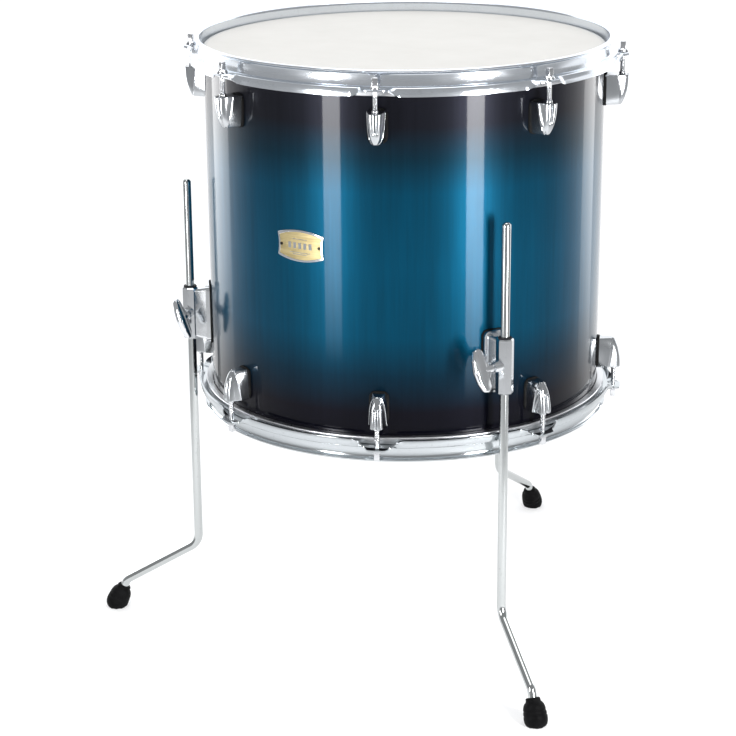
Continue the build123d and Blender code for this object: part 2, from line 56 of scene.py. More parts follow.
JOINTS = {j["name"]: j for j in frame["joints"]}


# ---- sizes read from the frame --------------------------------------------------------------------
def reach(node):
    """The largest distance of a node from the drum's axis."""
    return max(math.hypot(v.co.x, v.co.y) for v in NODES[node].data.vertices)


SHELL_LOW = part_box("shell")[0].z
SHELL_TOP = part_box("shell")[1].z
SHELL_R = reach("shell")
MIDDLE = (SHELL_LOW + SHELL_TOP) / 2
HEAD_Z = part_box("batter_film")[1].z
HOOP_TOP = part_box("top_hoop")[1].z
HOOP_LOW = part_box("top_hoop")[0].z
EAR_R = reach("top_hoop")
LUG_FLANGE = 1.2 * MM  # how far the CAD lug's base stands past its casting at each end
LUG_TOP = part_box("top_lugs")[1].z - LUG_FLANGE
LUG_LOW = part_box("top_lugs")[0].z + LUG_FLANGE
LUG_R = reach("top_lugs")
ROD_CIRCLE = 246.5 * MM
STATION_COUNT = 8
FIRST_STATION = 22.5  # degrees from +X
STATIONS = [math.radians(FIRST_STATION + 360 / STATION_COUNT * k) for k in range(STATION_COUNT)]
SIDES = ("left", "right", "rear")
LEG_AT = {s: Vector(JOINTS[f"leg_{s}_swivel"]["pos_m"]) for s in SIDES}
WING_AXIS = {s: Vector(JOINTS[f"wing_{s}_turn"]["axis"]).normalized() for s in SIDES}


# ---- mesh helpers -----------------------------------------------------------------------------------
def piece(name, verts, faces, sharp=32):
    """A mesh object at the origin, with smooth shading broken at edges sharper than the given angle."""
    mesh = bpy.data.meshes.new(name)
    mesh.from_pydata([tuple(v) for v in verts], [], faces)
    work = bmesh.new()
    work.from_mesh(mesh)
    bmesh.ops.remove_doubles(work, verts=work.verts, dist=1e-6)
    bmesh.ops.recalc_face_normals(work, faces=work.faces)
    work.to_mesh(mesh)
    work.free()
    mesh.shade_smooth()
    mesh.set_sharp_from_angle(angle=math.radians(sharp))
    obj = bpy.data.objects.new(name, mesh)
    bpy.context.scene.collection.objects.link(obj)
    return obj


def rings(loops, closed=False, caps=True):
    """Faces that join loops of equal length; closed joins the last loop to the first."""
    count, size = len(loops), len(loops[0])
    faces = []
    for i in range(count if closed else count - 1):
        a, b = i * size, (i + 1) % count * size
        for k in range(size):
            m = (k + 1) % size
            faces.append((a + k, a + m, b + m, b + k))
    if caps and not closed:
        faces.append(tuple(range(size))[::-1])
        faces.append(tuple((count - 1) * size + k for k in range(size)))
    return [v for loop in loops for v in loop], faces


def lathe(profile, steps=48):
    """A closed (r, z) profile turned about Z. Points with r = 0 close the piece on the axis."""
    loops = []
    for i in range(steps):
        a = math.tau * i / steps
        loops.append([(r * math.cos(a), r * math.sin(a), z) for r, z in profile])
    return rings(loops, closed=True)


def turned(azimuth, radius=0.0, z=0.0):
    """The place of a piece built along +X."""
    return Matrix.Rotation(azimuth, 4, "Z") @ Matrix.Translation((radius, 0, z))


# mirrors a piece of the batter side to the resonant side, about the shell's mid height
FLIP = Matrix.Translation((0, 0, 2 * MIDDLE)) @ Matrix.Diagonal((1, 1, -1, 1))


def put(parts, places):
    """Copies of (verts, faces) parts at each place, as one list of verts and faces."""
    verts, faces = [], []
    for place in places:
        for v, f in parts:
            base = len(verts)
            verts += [place @ Vector(p) for p in v]
            faces += [tuple(base + i for i in face) for face in f]
    return verts, faces


def rounded(points, radius, steps=4):
    """A closed outline with its corners rounded; radius is one value or one for each point."""
    out = []
    count = len(points)
    radii = radius if isinstance(radius, (list, tuple)) else [radius] * count
    for i, p in enumerate(points):
        p = Vector(p)
        a, b = Vector(points[i - 1]) - p, Vector(points[(i + 1) % count]) - p
        r = radii[i]
        if r <= 0:
            out.append(tuple(p))
            continue
        half = a.angle(b) / 2
        cut = min(r / math.tan(half), 0.48 * a.length, 0.48 * b.length)
        start, end = p + a.normalized() * cut, p + b.normalized() * cut
        for k in range(steps + 1):
            t = k / steps
            out.append(tuple(start * (1 - t) ** 2 + p * 2 * t * (1 - t) + end * t**2))
    return out


def in_mm(points):
    """Points given in millimetres, in metres."""
    return [tuple(c * MM for c in p) for p in points]


def mix(a, b, t):
    """The value between a and b at share t, which is held within 0 to 1."""
    return a + (b - a) * min(1, max(0, t))


def ease(t):
    """A smooth step from 0 at t = 0 to 1 at t = 1."""
    t = min(1, max(0, t))
    return t * t * (3 - 2 * t)


def apply_modifiers(obj):
    """Replace an object's mesh by the mesh that its modifiers give."""
    bpy.context.view_layer.update()
    graph = bpy.context.evaluated_depsgraph_get()
    mesh = bpy.data.meshes.new_from_object(obj.evaluated_get(graph))
    obj.modifiers.clear()
    obj.data = mesh


# ---- material helpers -------------------------------------------------------------------------------
SPAN_SOCKETS = ("From Min", "From Max", "To Min", "To Max")


class Shader:
    """A node material under construction, with object coordinates in metres."""

    def __init__(self, name):
        self.material = bpy.data.materials.new(name)
        self.material.use_nodes = True
        self.nodes = self.material.node_tree.nodes
        self.links = self.material.node_tree.links
        self.bsdf = self.nodes["Principled BSDF"]
        self.coord = self.add("ShaderNodeTexCoord").outputs["Object"]

    def add(self, kind, **values):
        node = self.nodes.new(kind)
        for key, value in values.items():
            if hasattr(node, key):
                setattr(node, key, value)
            else:
                node.inputs[key.replace("_", " ")].default_value = value
        return node

    def link(self, source, target):
        self.links.new(source, target)

    def stretched(self, scale):
        node = self.add("ShaderNodeMapping")
        node.inputs["Scale"].default_value = scale
        self.link(self.coord, node.inputs["Vector"])
        return node.outputs["Vector"]

    def noise(self, scale, detail=3.0, rough=0.5, vector=None):
        node = self.add("ShaderNodeTexNoise", Scale=scale, Detail=detail, Roughness=rough)
        self.link(vector or self.coord, node.inputs["Vector"])
        return node.outputs["Fac"]

    def ramp(self, source, stops):
        node = self.add("ShaderNodeValToRGB")
        marks = node.color_ramp.elements
        while len(marks) < len(stops):
            marks.new(0.5)
        for mark, (at, colour) in zip(marks, stops):
            mark.position = at
            mark.color = (*colour, 1)
        self.link(source, node.inputs["Fac"])
        return node.outputs["Color"]

    def span(self, source, low, high, to_low=0.0, to_high=1.0):
        node = self.add("ShaderNodeMapRange")
        for name, value in zip(SPAN_SOCKETS, (low, high, to_low, to_high)):
            node.inputs[name].default_value = value
        self.link(source, node.inputs["Value"])
        return node.outputs["Result"]

    def maths(self, operation, a, b=None):
        node = self.add("ShaderNodeMath", operation=operation)
        for socket, value in zip(node.inputs, (a, b)):
            if value is None:
                continue
            if isinstance(value, (int, float)):
                socket.default_value = value
            else:
                self.link(value, socket)
        return node.outputs["Value"]

    def blend(self, factor, a, b):
        node = self.add("ShaderNodeMix", data_type="RGBA")
        self.link(factor, node.inputs["Factor"])
        for name, value in (("A", a), ("B", b)):
            socket = [s for s in node.inputs if s.name == name and s.type == "RGBA"][0]
            if isinstance(value, tuple):
                socket.default_value = (*value, 1)
            else:
                self.link(value, socket)
        return [s for s in node.outputs if s.type == "RGBA"][0]

    def bump(self, height, strength, distance):
        node = self.add("ShaderNodeBump", Strength=strength, Distance=distance)
        self.link(height, node.inputs["Height"])
        self.link(node.outputs["Normal"], self.bsdf.inputs["Normal"])

    def cylinder(self):
        """(distance from the drum's axis, height) of the shaded point."""
        axes = self.add("ShaderNodeSeparateXYZ")
        self.link(self.coord, axes.inputs["Vector"])
        x, y, z = axes.outputs
        squares = self.maths("ADD", self.maths("MULTIPLY", x, x), self.maths("MULTIPLY", y, y))
        return self.maths("SQRT", squares), z

    def average(self, a, b, share):
        """A mixture of two values that holds the given share of the first."""
        rest = round(1 - share, 3)
        return self.maths("ADD", self.maths("MULTIPLY", a, share), self.maths("MULTIPLY", b, rest))

    def colour(self, source):
        self.link(source, self.bsdf.inputs["Base Color"])

    def roughness(self, source, low, high, smooth, coarse):
        self.link(self.span(source, low, high, smooth, coarse), self.bsdf.inputs["Roughness"])

    def constants(self, **values):
        for key, value in values.items():
            self.bsdf.inputs[key.replace("_", " ")].default_value = value


DULL_SPOT = 0.92  # share of the chrome's brightness that is left in its faint spots


def chrome(name, shade, smooth, coarse, grain):
    """Chrome plate: a bright mirror with haze, faint wipe marks and the ripple of the metal under it."""
    s = Shader(name)
    s.constants(Metallic=1.0)
    haze = s.noise(38, 4, 0.6)
    wipe = s.noise(9, 5, 0.7, s.stretched((grain, grain, grain * 9)))
    s.roughness(s.average(haze, wipe, 0.6), 0.35, 0.65, smooth, coarse)
    spots = s.noise(220, 2, 0.5)
    dull = tuple(c * DULL_SPOT for c in shade)
    s.colour(s.blend(s.span(spots, 0.62, 0.72), shade, dull))
    s.bump(s.noise(140, 2, 0.5), 0.02, 0.0002)
    return s.material


def drum_lacquer():
    """Gloss blue over wood grain outside, near black at both ends, and bare ply inside and on the edges."""
    s = Shader("blue_fade_lacquer")
    radius, z = s.cylinder()
    height = s.span(z, SHELL_LOW, SHELL_TOP)
    wander = s.maths("MULTIPLY", s.maths("SUBTRACT", s.noise(5, 2), 0.5), 0.02)
    fade = s.ramp(
        s.maths("ADD", height, wander),
        [
            (0.0, (0.002, 0.002, 0.005)),
            (0.10, (0.003, 0.003, 0.007)),
            (0.20, (0.001, 0.018, 0.036)),
            (0.31, (0.000, 0.047, 0.092)),
            (0.50, (0.000, 0.055, 0.108)),
            (0.70, (0.000, 0.047, 0.092)),
            (0.79, (0.002, 0.022, 0.040)),
            (0.88, (0.008, 0.009, 0.014)),
            (1.0, (0.010, 0.010, 0.015)),
        ],
    )
    grain = s.noise(3.2, 6, 0.65, s.stretched((60, 60, 2.2)))
    figure = s.noise(2.0, 3, 0.5, s.stretched((14, 14, 1.0)))
    streaks = s.average(grain, figure, 0.6)
    darker = s.span(streaks, 0.3, 0.7, 0.78, 1.18)
    stained = s.add("ShaderNodeVectorMath", operation="SCALE")
    s.link(fade, stained.inputs[0])
    s.link(darker, stained.inputs["Scale"])
    plies = s.noise(1.0, 1, 0.5, s.stretched((5, 5, 700)))
    wood = s.ramp(
        s.average(streaks, plies, 0.8),
        [(0.25, (0.33, 0.19, 0.09)), (0.55, (0.55, 0.36, 0.19)), (0.8, (0.68, 0.49, 0.29))],
    )
    outside = s.span(radius, SHELL_R - 1.4 * MM, SHELL_R - 0.6 * MM)
    s.colour(s.blend(outside, wood, stained.outputs["Vector"]))
    s.roughness(outside, 0, 1, 0.55, 0.34)
    s.link(s.span(outside, 0, 1, 0.0, 0.5), s.bsdf.inputs["Metallic"])
    s.constants(Coat_Weight=1.0, Coat_Roughness=0.05, Coat_IOR=1.2, Specular_IOR_Level=0.05)
    s.bump(s.noise(26, 2, 0.5), 0.03, 0.0006)
    return s.material


def coated_head():
    """White sprayed coating with a fine tooth and faint clouds, and bare film at its outer edge."""
    s = Shader("sprayed_head_coating")
    radius, _ = s.cylinder()
    cloud = s.noise(16, 4, 0.6)
    speck = s.noise(1400, 2, 0.6)
    tone = s.average(cloud, speck, 0.6)
    coat = s.ramp(tone, [(0.3, (0.755, 0.74, 0.705)), (0.7, (0.825, 0.81, 0.78))])
    bare = s.span(radius, SHELL_R - 5 * MM, SHELL_R - 3 * MM)
    s.colour(s.blend(bare, coat, (0.70, 0.70, 0.69)))
    s.roughness(speck, 0.3, 0.7, 0.52, 0.74)
    s.constants(Specular_IOR_Level=0.35)
    s.bump(speck, 0.35, 0.00012)
    return s.material


def clear_head():
    """Hazy clear film with faint drawing marks."""
    s = Shader("clear_head_film")
    marks = s.noise(30, 4, 0.6)
    s.colour(s.ramp(marks, [(0.3, (0.78, 0.79, 0.80)), (0.7, (0.86, 0.87, 0.88))]))
    s.roughness(marks, 0.3, 0.7, 0.10, 0.24)
    s.constants(Transmission_Weight=0.55, IOR=1.45)
    s.bump(s.noise(12, 3, 0.5), 0.08, 0.0006)
    return s.material


def rubber(name, shade, rough, tooth):
    """Dark rubber or nylon with a moulded tooth and slightly paler scuffs."""
    s = Shader(name)
    scuff = s.noise(60, 5, 0.7)
    light = tuple(c * 2.2 + 0.003 for c in shade)
    s.colour(s.ramp(scuff, [(0.45, shade), (0.78, light)]))
    s.roughness(scuff, 0.3, 0.7, rough - 0.1, rough + 0.1)
    s.bump(s.noise(tooth, 3, 0.6), 0.25, 0.0002)
    s.constants(Specular_IOR_Level=0.06)
    return s.material


def plated_steel():
    """Zinc plate: grey with a faint warm and cool bloom."""
    s = Shader("zinc_plate")
    bloom = s.noise(120, 3, 0.6)
    s.constants(Metallic=1.0)
    tones = [(0.3, (0.46, 0.46, 0.48)), (0.55, (0.60, 0.59, 0.56)), (0.75, (0.55, 0.57, 0.62))]
    s.colour(s.ramp(bloom, tones))
    s.roughness(bloom, 0.3, 0.7, 0.28, 0.45)
    s.bump(s.noise(700, 2), 0.12, 0.0001)
    return s.material


def satin_ring():
    """Satin aluminium of the heads' own rings."""
    s = Shader("satin_aluminium")
    lines = s.noise(4, 4, 0.6, s.stretched((8, 8, 900)))
    s.constants(Metallic=1.0)
    s.colour(s.ramp(lines, [(0.3, (0.60, 0.61, 0.63)), (0.7, (0.76, 0.77, 0.79))]))
    s.roughness(lines, 0.3, 0.7, 0.25, 0.4)
    s.bump(lines, 0.1, 0.0001)
    return s.material


def golden_plate():
    """Brushed pale gold under clear lacquer."""
    s = Shader("golden_plate")
    lines = s.noise(14, 5, 0.65, s.stretched((2, 2, 60)))
    mottle = s.noise(180, 3, 0.5)
    s.constants(Metallic=0.75)
    tones = [(0.3, (0.33, 0.26, 0.12)), (0.55, (0.44, 0.36, 0.18)), (0.75, (0.53, 0.45, 0.26))]
    s.colour(s.ramp(lines, tones))
    s.roughness(mottle, 0.3, 0.7, 0.34, 0.46)
    s.constants(Coat_Weight=0.3, Coat_Roughness=0.1)
    s.bump(lines, 0.08, 0.0001)
    return s.material


def dark_bronze():
    """Darkened metal of the badge pins."""
    s = Shader("darkened_metal")
    tone = s.noise(500, 3, 0.6)
    s.constants(Metallic=1.0)
    s.colour(s.ramp(tone, [(0.3, (0.010, 0.009, 0.008)), (0.7, (0.045, 0.040, 0.035))]))
    s.roughness(tone, 0.3, 0.7, 0.3, 0.5)
    s.bump(tone, 0.15, 0.0001)
    return s.material


HOOP_CHROME = chrome("hoop_chrome", (0.80, 0.84, 0.89), 0.12, 0.20, 3)
LUG_CHROME = chrome("lug_chrome", (0.55, 0.57, 0.59), 0.09, 0.18, 12)
CAST_CHROME = chrome("cast_chrome", (0.76, 0.78, 0.80), 0.08, 0.16, 12)
ROD_CHROME = chrome("rod_chrome", (0.66, 0.67, 0.69), 0.12, 0.24, 20)
LEG_CHROME = chrome("leg_chrome", (0.55, 0.57, 0.57), 0.07, 0.14, 20)
# the resonant hoop's chrome is a darker copy of the hoop chrome: painted shade on the lower hoop
SHADED_LOW_HOOP_CHROME = chrome("lower_hoop_chrome_painted_shade", (0.52, 0.55, 0.57), 0.08, 0.16, 3)
LACQUER = drum_lacquer()
COATING = coated_head()
CLEAR = clear_head()
FOOT_RUBBER = rubber("foot_rubber", (0.003, 0.003, 0.0033), 0.55, 900)
GASKET = rubber("gasket_rubber", (0.010, 0.010, 0.010), 0.75, 1400)
NYLON = rubber("black_nylon", (0.016, 0.016, 0.018), 0.42, 500)
ZINC = plated_steel()
RING = satin_ring()
GOLD = golden_plate()
BRONZE = dark_bronze()


def finish_piece(obj, body, material, node):
    """Give a new piece its material in a slot and its body, and hide the CAD node that it stands for."""
    obj.data.materials.append(material)
    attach(obj, body)
    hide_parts(node)


# ---- shell and heads --------------------------------------------------------------------------------
SHELL_WALL = 7.2 * MM
VENT_R = 5.0 * MM
VENT_REACH = 20.0 * MM  # half length of the cutter that opens the vent


def build_shell():
    """The shell with its bearing edges, and the vent hole cut through it."""
    inner = SHELL_R - SHELL_WALL
    bevel = SHELL_WALL - MM
    profile = [
        (inner, SHELL_LOW + bevel),
        (SHELL_R - 1.0 * MM, SHELL_LOW),
        (SHELL_R - 0.5 * MM, SHELL_LOW + 0.25 * MM),
        (SHELL_R, SHELL_LOW + 1.2 * MM),
    ]
    profile += [(SHELL_R, mix(SHELL_LOW, SHELL_TOP, k / 12)) for k in range(1, 12)]
    profile += [
        (SHELL_R, SHELL_TOP - 1.2 * MM),
        (SHELL_R - 0.5 * MM, SHELL_TOP - 0.25 * MM),
        (SHELL_R - 1.0 * MM, SHELL_TOP),
        (inner, SHELL_TOP - bevel),
    ]
    shell = piece("drum_shell", *lathe(profile, 384))
    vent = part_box("vent_grommet")
    centre = (vent[0] + vent[1]) / 2
    azimuth = math.atan2(centre.y, centre.x)
    hole = lathe([(0, -VENT_REACH), (VENT_R, -VENT_REACH), (VENT_R, VENT_REACH), (0, VENT_REACH)], 40)
    place = turned(azimuth, SHELL_R - SHELL_WALL / 2, centre.z) @ Matrix.Rotation(math.pi / 2, 4, "Y")
    cutter = piece("vent_cutter", *put([hole], [place]))
    cut = shell.modifiers.new("vent", "BOOLEAN")
    cut.operation = "DIFFERENCE"
    cut.object = cutter
    cut.solver = "EXACT"
    apply_modifiers(shell)
    bpy.data.objects.remove(cutter)
    shell.data.set_sharp_from_angle(angle=math.radians(25))
    finish_piece(shell, "root", LACQUER, "shell")


FILM = 0.3 * MM
FLESH_R = 235.0 * MM  # outer radius of a head's own ring
CROWN_POINTS = 10  # points of the head's profile inside its crest


def build_heads():
    """Both heads: a film that turns down over the bearing edge, and the ring that it is held in."""
    collar = reach("batter_film")
    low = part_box("batter_film")[0].z
    crest = SHELL_R - MM
    outer = [(crest * k / CROWN_POINTS, HEAD_Z) for k in range(CROWN_POINTS)]
    outer += [
        (crest - 0.4 * MM, HEAD_Z),
        (crest + 0.25 * MM, HEAD_Z - 0.12 * MM),
        (collar - 0.25 * MM, HEAD_Z - 1.1 * MM),
        (collar, HEAD_Z - 2.0 * MM),
        (collar, low),
    ]
    inner = [(max(0, r - FILM), HEAD_Z - FILM) for r, z in outer[:CROWN_POINTS]]
    inner += [(crest - 0.6 * MM, HEAD_Z - FILM)]
    inner += [(r - FILM, z - 0.2 * FILM) for r, z in outer[CROWN_POINTS + 1 : -1]]
    inner += [(collar - FILM, low)]
    body = lathe(outer + inner[::-1], 256)
    batter = piece("batter_head_film", *body)
    finish_piece(batter, "root", COATING, "batter_film")
    resonant = piece("resonant_head_film", *put([body], [FLIP]))
    finish_piece(resonant, "root", CLEAR, "resonant_film")
    ring_low, ring_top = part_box("batter_flesh_hoop")[0].z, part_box("batter_flesh_hoop")[1].z
    ring = rounded(
        [(collar, ring_low), (FLESH_R, ring_low), (FLESH_R, ring_top), (collar, ring_top)],
        [0.3 * MM, 1.6 * MM, 1.6 * MM, 0.8 * MM],
    )
    ring_body = lathe(ring, 256)
    for name, places, node in (
        ("batter_flesh_ring", [Matrix()], "batter_flesh_hoop"),
        ("resonant_flesh_ring", [FLIP], "resonant_flesh_hoop"),
    ):
        finish_piece(piece(name, *put([ring_body], places)), "root", RING, node)


# ---- counter hoops ----------------------------------------------------------------------------------
SHEET = 2.3 * MM
HOOP_IN = 231.0 * MM
LIP_R = 237.0 * MM
STEP_TOP = HEAD_Z - 6.0 * MM
BEND_R = 239.4 * MM
HOOP_ARC_R = 243.0 * MM  # distances round the hoop are measured at this radius
EAR_FLAT = 9.0 * MM  # half width of an ear's flat part
EAR_CORNER = 0.4 * MM  # how far an ear's end falls back at the corners of its flat part
TAB_RUN = 5.5 * MM  # over this distance beyond the flat part the flap gets its full length
SKIRT_FROM = 29.0 * MM  # from here on the skirt hangs at its full slope
SKIRT_SLOPE = math.radians(80)  # below level
EAR_STEPS = 24
SKIRT_STEPS = 12


def hoop_section(flap_angle, flap_length):
    """The closed (r, z) section of a hoop whose outer flap leaves the step at an angle below level."""
    wall = HOOP_IN + SHEET
    points = [
        (HOOP_IN, STEP_TOP - SHEET),
        (HOOP_IN, STEP_TOP),
        (HOOP_IN, HOOP_TOP - 3.0 * MM),
        (HOOP_IN + 0.15 * MM, HOOP_TOP - 1.5 * MM),
        (HOOP_IN + 0.7 * MM, HOOP_TOP - 0.5 * MM),
        (HOOP_IN + 1.7 * MM, HOOP_TOP),
        (LIP_R - 2.2 * MM, HOOP_TOP),
        (LIP_R - 1.0 * MM, HOOP_TOP - 0.3 * MM),
        (LIP_R - 0.2 * MM, HOOP_TOP - 1.1 * MM),
        (LIP_R, HOOP_TOP - 1.9 * MM),
        (LIP_R - 0.4 * MM, HOOP_TOP - 2.7 * MM),
        (LIP_R - 1.4 * MM, HOOP_TOP - 3.2 * MM),
        (wall + 0.7 * MM, HOOP_TOP - 3.8 * MM),
        (wall + 0.1 * MM, HOOP_TOP - 4.8 * MM),
        (wall, HOOP_TOP - 6.5 * MM),
        (wall, STEP_TOP + 1.6 * MM),
        (wall + 0.5 * MM, STEP_TOP + 0.5 * MM),
        (wall + 1.6 * MM, STEP_TOP),
    ]
    corner = Vector((BEND_R, STEP_TOP - SHEET))
    for k in range(5):
        a = flap_angle * k / 4
        points.append(tuple(corner + SHEET * Vector((math.sin(a), math.cos(a)))))
    along = Vector((math.cos(flap_angle), -math.sin(flap_angle)))
    out = Vector((math.sin(flap_angle), math.cos(flap_angle)))
    tip = corner + along * flap_length
    soft = 0.6 * MM
    points.append(tuple(tip + out * SHEET - along * soft))
    points.append(tuple(tip + out * (SHEET - soft * 0.4)))
    points.append(tuple(tip + out * soft * 0.4))
    points.append(tuple(tip - along * soft))
    points.append(tuple(corner + along * 0.5 * MM))
    points.append(tuple(corner - Vector((0.6 * MM, 0))))
    return points


def hoop_flap(offset):
    """(angle, length) of the flap at a distance round the hoop from an ear's middle."""
    skirt_length = (STEP_TOP - SHEET - HOOP_LOW) / math.sin(SKIRT_SLOPE)
    t = abs(offset)
    across = min(1.0, t / EAR_FLAT)
    ear_length = EAR_R - BEND_R - EAR_CORNER * across**4
    tab = ease((t - EAR_FLAT) / TAB_RUN)
    bent = ease((t - EAR_FLAT) / (SKIRT_FROM - EAR_FLAT))
    return SKIRT_SLOPE * bent, mix(ear_length, skirt_length, tab)


def hoop_body():
    """The whole hoop, with an ear at each station and a skirt between ears."""
    half = math.pi / STATION_COUNT * HOOP_ARC_R
    marks = [m * MM for m in (0, 3, 6, 8, 9)]
    marks += [mix(EAR_FLAT, SKIRT_FROM, (k + 1) / EAR_STEPS) for k in range(EAR_STEPS)]
    marks += [mix(marks[-1], half, (k + 1) / SKIRT_STEPS) for k in range(SKIRT_STEPS)]
    offsets = [-m for m in marks[:0:-1]] + marks[:-1]
    loops = []
    for station in STATIONS:
        for offset in offsets:
            a = station + offset / HOOP_ARC_R
            section = hoop_section(*hoop_flap(offset))
            loops.append([(r * math.cos(a), r * math.sin(a), z) for r, z in section])
    return rings(loops, closed=True)


def build_hoops():
    """The same hoop over each head."""
    body = hoop_body()
    top = piece("batter_hoop", *body, sharp=40)
    finish_piece(top, "root", HOOP_CHROME, "top_hoop")
    bottom = piece("resonant_hoop", *put([body], [FLIP]), sharp=40)
    # the lower hoop's darker chrome is painted shade
    finish_piece(bottom, "root", SHADED_LOW_HOOP_CHROME, "bottom_hoop")


# ---- lugs -------------------------------------------------------------------------------------------
SEAT = SHELL_R + MM
LUG_TIP_SET_BACK = 8.0 * MM  # how far the front falls back at the tip
LUG_RIDGE_R = 239.5 * MM  # the shield's edge at the rod end
LUG_RIDGE_RISE = 4.6 * MM  # how much further out that edge is at the tip
LUG_HALF = 10.2 * MM  # half width at the rod end
LUG_BASE_HALF = 9.7 * MM
LUG_SHOULDER = SEAT + 1.8 * MM
LUG_EASE = 1.4 * MM  # how far the sides end short of the front
RIBS_END = 0.56  # from this share of the height the ribs run out
NOTCH_AT = 0.62  # share of the height where a notch crosses the ribs
# shares of the height, from rod end to tip, where the casting's sections are, closest at the notch and ends
LUG_SHARES = [0, 0.008, 0.02, 0.04, 0.07, 0.12, 0.18, 0.25, 0.32, 0.39, 0.45, 0.50, 0.54, 0.575, 0.59]
LUG_SHARES += [0.605, 0.62, 0.635, 0.65, 0.68, 0.72, 0.77, 0.82, 0.86, 0.90, 0.93, 0.955, 0.975, 0.99, 1.0]
PAD_HALF = 10.9 * MM
PAD_MARGIN = 1.5 * MM  # how far a pad stands past its casting at each end
PAD_CORNER = 8.5 * MM
PAD_LAYERS = ((-1.0, 0), (1.0, 0), (1.4, 0.25), (1.6, 0.7), (1.7, 1.6))  # (rise, inset) in mm


def seat_x(y):
    """Where a casting's back meets the gasket at a sideways distance y."""
    return math.sqrt(SEAT**2 - y**2)


def lug_body():
    """The cast body: a shield-shaped front inside a thin rim, with two ribs and a groove between them."""
    height = LUG_TOP - LUG_LOW
    loops = []
    for v in LUG_SHARES:
        z = LUG_TOP - height * v
        worn = 0.5 * MM * (1 - ease(v / 0.02)) + 0.6 * MM * ease((v - 0.975) / 0.025)
        front = LUG_R - LUG_TIP_SET_BACK * v**2.5 - worn
        wide = LUG_HALF - (2.2 * v + 4.4 * v**6) * MM - 0.6 * worn
        ridge = LUG_RIDGE_R + LUG_RIDGE_RISE * v - worn
        base = LUG_BASE_HALF - 2.6 * MM * v**6 - 0.4 * worn
        ribbed = 1 - ease((v - RIBS_END) / 0.1)
        groove = 1.5 * MM * ribbed + 1.6 * MM * max(0.0, 1 - v / 0.07)
        notch = 1.1 * MM * max(0.0, 1 - abs(v - NOTCH_AT) / 0.05)
        side_end = (front - LUG_EASE, 0.63 * wide)
        half = [
            (seat_x(base), base),
            (LUG_SHOULDER, base),
            (mix(LUG_SHOULDER, ridge, 0.9), mix(base, wide, 0.9)),
            (ridge - 0.3 * MM, wide),
            (ridge + 0.4 * MM, wide - 0.1 * MM),
            (ridge + 0.7 * MM, wide - 0.55 * MM),
            (mix(ridge, side_end[0], 0.14), mix(wide, side_end[1], 0.30)),
            (mix(ridge, side_end[0], 0.55), mix(wide, side_end[1], 0.70)),
            (front - 1.9 * MM, 0.66 * wide),
            (front - 1.2 * MM, 0.60 * wide),
            (front - 0.5 * MM, 0.50 * wide),
            (front - 0.1 * MM - 0.4 * notch, 0.42 * wide),
            (front - notch, 0.30 * wide),
            (front - 0.7 * notch, 0.20 * wide),
            (front - 0.25 * groove, 0.11 * wide),
        ]
        middle = (front - groove, 0.0)
        loop = [(x, y, z) for x, y in half] + [(*middle, z)] + [(x, -y, z) for x, y in half[::-1]]
        loops.append(loop)
    return rings(loops)


def lug_pad():
    """The black pad between a casting and the shell: a rounded plate that follows the shell."""
    centre = (LUG_TOP + LUG_LOW) / 2
    loops = []
    for rise, inset in PAD_LAYERS:
        w = PAD_HALF - inset * MM
        h = (LUG_TOP - LUG_LOW) / 2 + PAD_MARGIN - inset * MM
        outline = rounded([(-w, -h), (w, -h), (w, h), (-w, h)], PAD_CORNER, 8)
        loops.append([(seat_x(y) + rise * MM, y, centre + t) for y, t in outline])
    return rings(loops)


def build_lugs():
    """Sixteen castings and the pads behind them."""
    places = [turned(a) for a in STATIONS]
    low_places = [FLIP @ p for p in places]
    top = piece("batter_lugs", *put([lug_body()], places), sharp=38)
    finish_piece(top, "root", LUG_CHROME, "top_lugs")
    bottom = piece("resonant_lugs", *put([lug_body()], low_places), sharp=38)
    finish_piece(bottom, "root", LUG_CHROME, "bottom_lugs")
    pads = piece("lug_pads", *put([lug_pad()], places + low_places), sharp=38)
    finish_piece(pads, "root", GASKET, "lug_gaskets")


# ---- swivel nuts, washers, tension rods -----------------------------------------------------------
ROD_R = 2.75 * MM
NUT_LIFT = 3.2 * MM  # how far a nut's dome stands out of its lug
NUT_R = 4.9 * MM
NUT_SUNK = 6.0 * MM  # how much of a nut is drawn inside its lug
WASHER = 1.2 * MM
WASHER_R = 6.2 * MM
FLANGE_R = 5.6 * MM
THREAD_RUN = 15.0 * MM  # how far the thread shows beyond the lug
THREAD_PITCH = 0.9 * MM
THREAD_DEPTH = 0.25 * MM


def build_nuts_and_washers():
    """A domed nut in each lug and a washer under each rod's flange."""
    top = LUG_TOP
    nut = [(ROD_R + 0.05 * MM, top - NUT_SUNK), (NUT_R, top - NUT_SUNK), (NUT_R, top - 0.2 * MM)]
    nut += [(4.6 * MM, top), (3.5 * MM, top + 0.1 * MM), (3.75 * MM, top + 0.7 * MM)]
    for k in range(7):
        a = math.pi / 2 * k / 6
        nut.append(((2.9 + 0.9 * math.cos(a)) * MM, top + (1.4 + 1.7 * math.sin(a)) * MM))
    washer = rounded(
        [
            (ROD_R + 0.1 * MM, STEP_TOP),
            (WASHER_R, STEP_TOP),
            (WASHER_R, STEP_TOP + WASHER),
            (ROD_R + 0.1 * MM, STEP_TOP + WASHER),
        ],
        [0, 0.2 * MM, 0.45 * MM, 0],
        3,
    )
    places = [turned(a, ROD_CIRCLE) for a in STATIONS]
    for label, profile, top_node, low_node in (
        ("swivel_nuts", nut, "top_swivel_nuts", "bottom_swivel_nuts"),
        ("rod_washers", washer, "top_rod_washers", "bottom_rod_washers"),
    ):
        body = lathe(profile, 36)
        upper = piece(f"batter_{label}", *put([body], places))
        finish_piece(upper, "root", ROD_CHROME, top_node)
        lower = piece(f"resonant_{label}", *put([body], [FLIP @ p for p in places]))
        finish_piece(lower, "root", ROD_CHROME, low_node)


